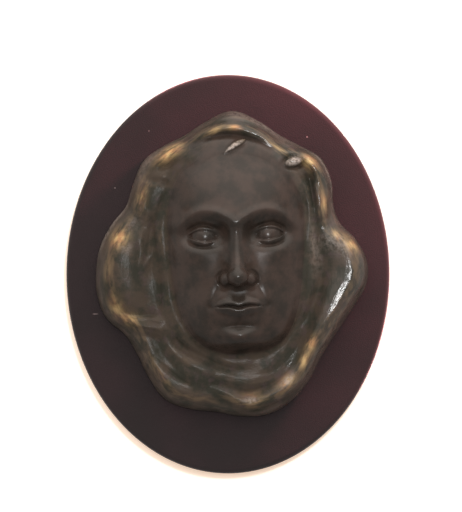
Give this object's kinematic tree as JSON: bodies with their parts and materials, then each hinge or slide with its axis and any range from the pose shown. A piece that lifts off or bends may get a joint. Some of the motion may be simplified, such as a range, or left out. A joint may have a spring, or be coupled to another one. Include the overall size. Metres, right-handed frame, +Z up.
{
  "type": "sculpted face mask",
  "caption": "Wall plaque: a glossy cast mask of a calm face framed by loose flowing hair, fixed on an oval board covered in dark velvet.",
  "frame": {"origin": "middle of the oval board's flat back face, which lies against the wall", "axes": "+Z up the board's long axis; +Y into the wall, so the face looks along -Y; +X to the right of someone who stands in front"},
  "size_m": [0.321, 0.0911, 0.396],
  "materials": {
    "board": "plain unvarnished board",
    "velvet": "dark maroon velvet, short pile",
    "casting": "dark smoky brown cast glass, fire polished, amber where it is thin"
  },
  "bodies": {
    "root": {"backing_board": "board", "velvet_cover": "velvet", "face_mask": "casting"}
  },
  "joints": []
}
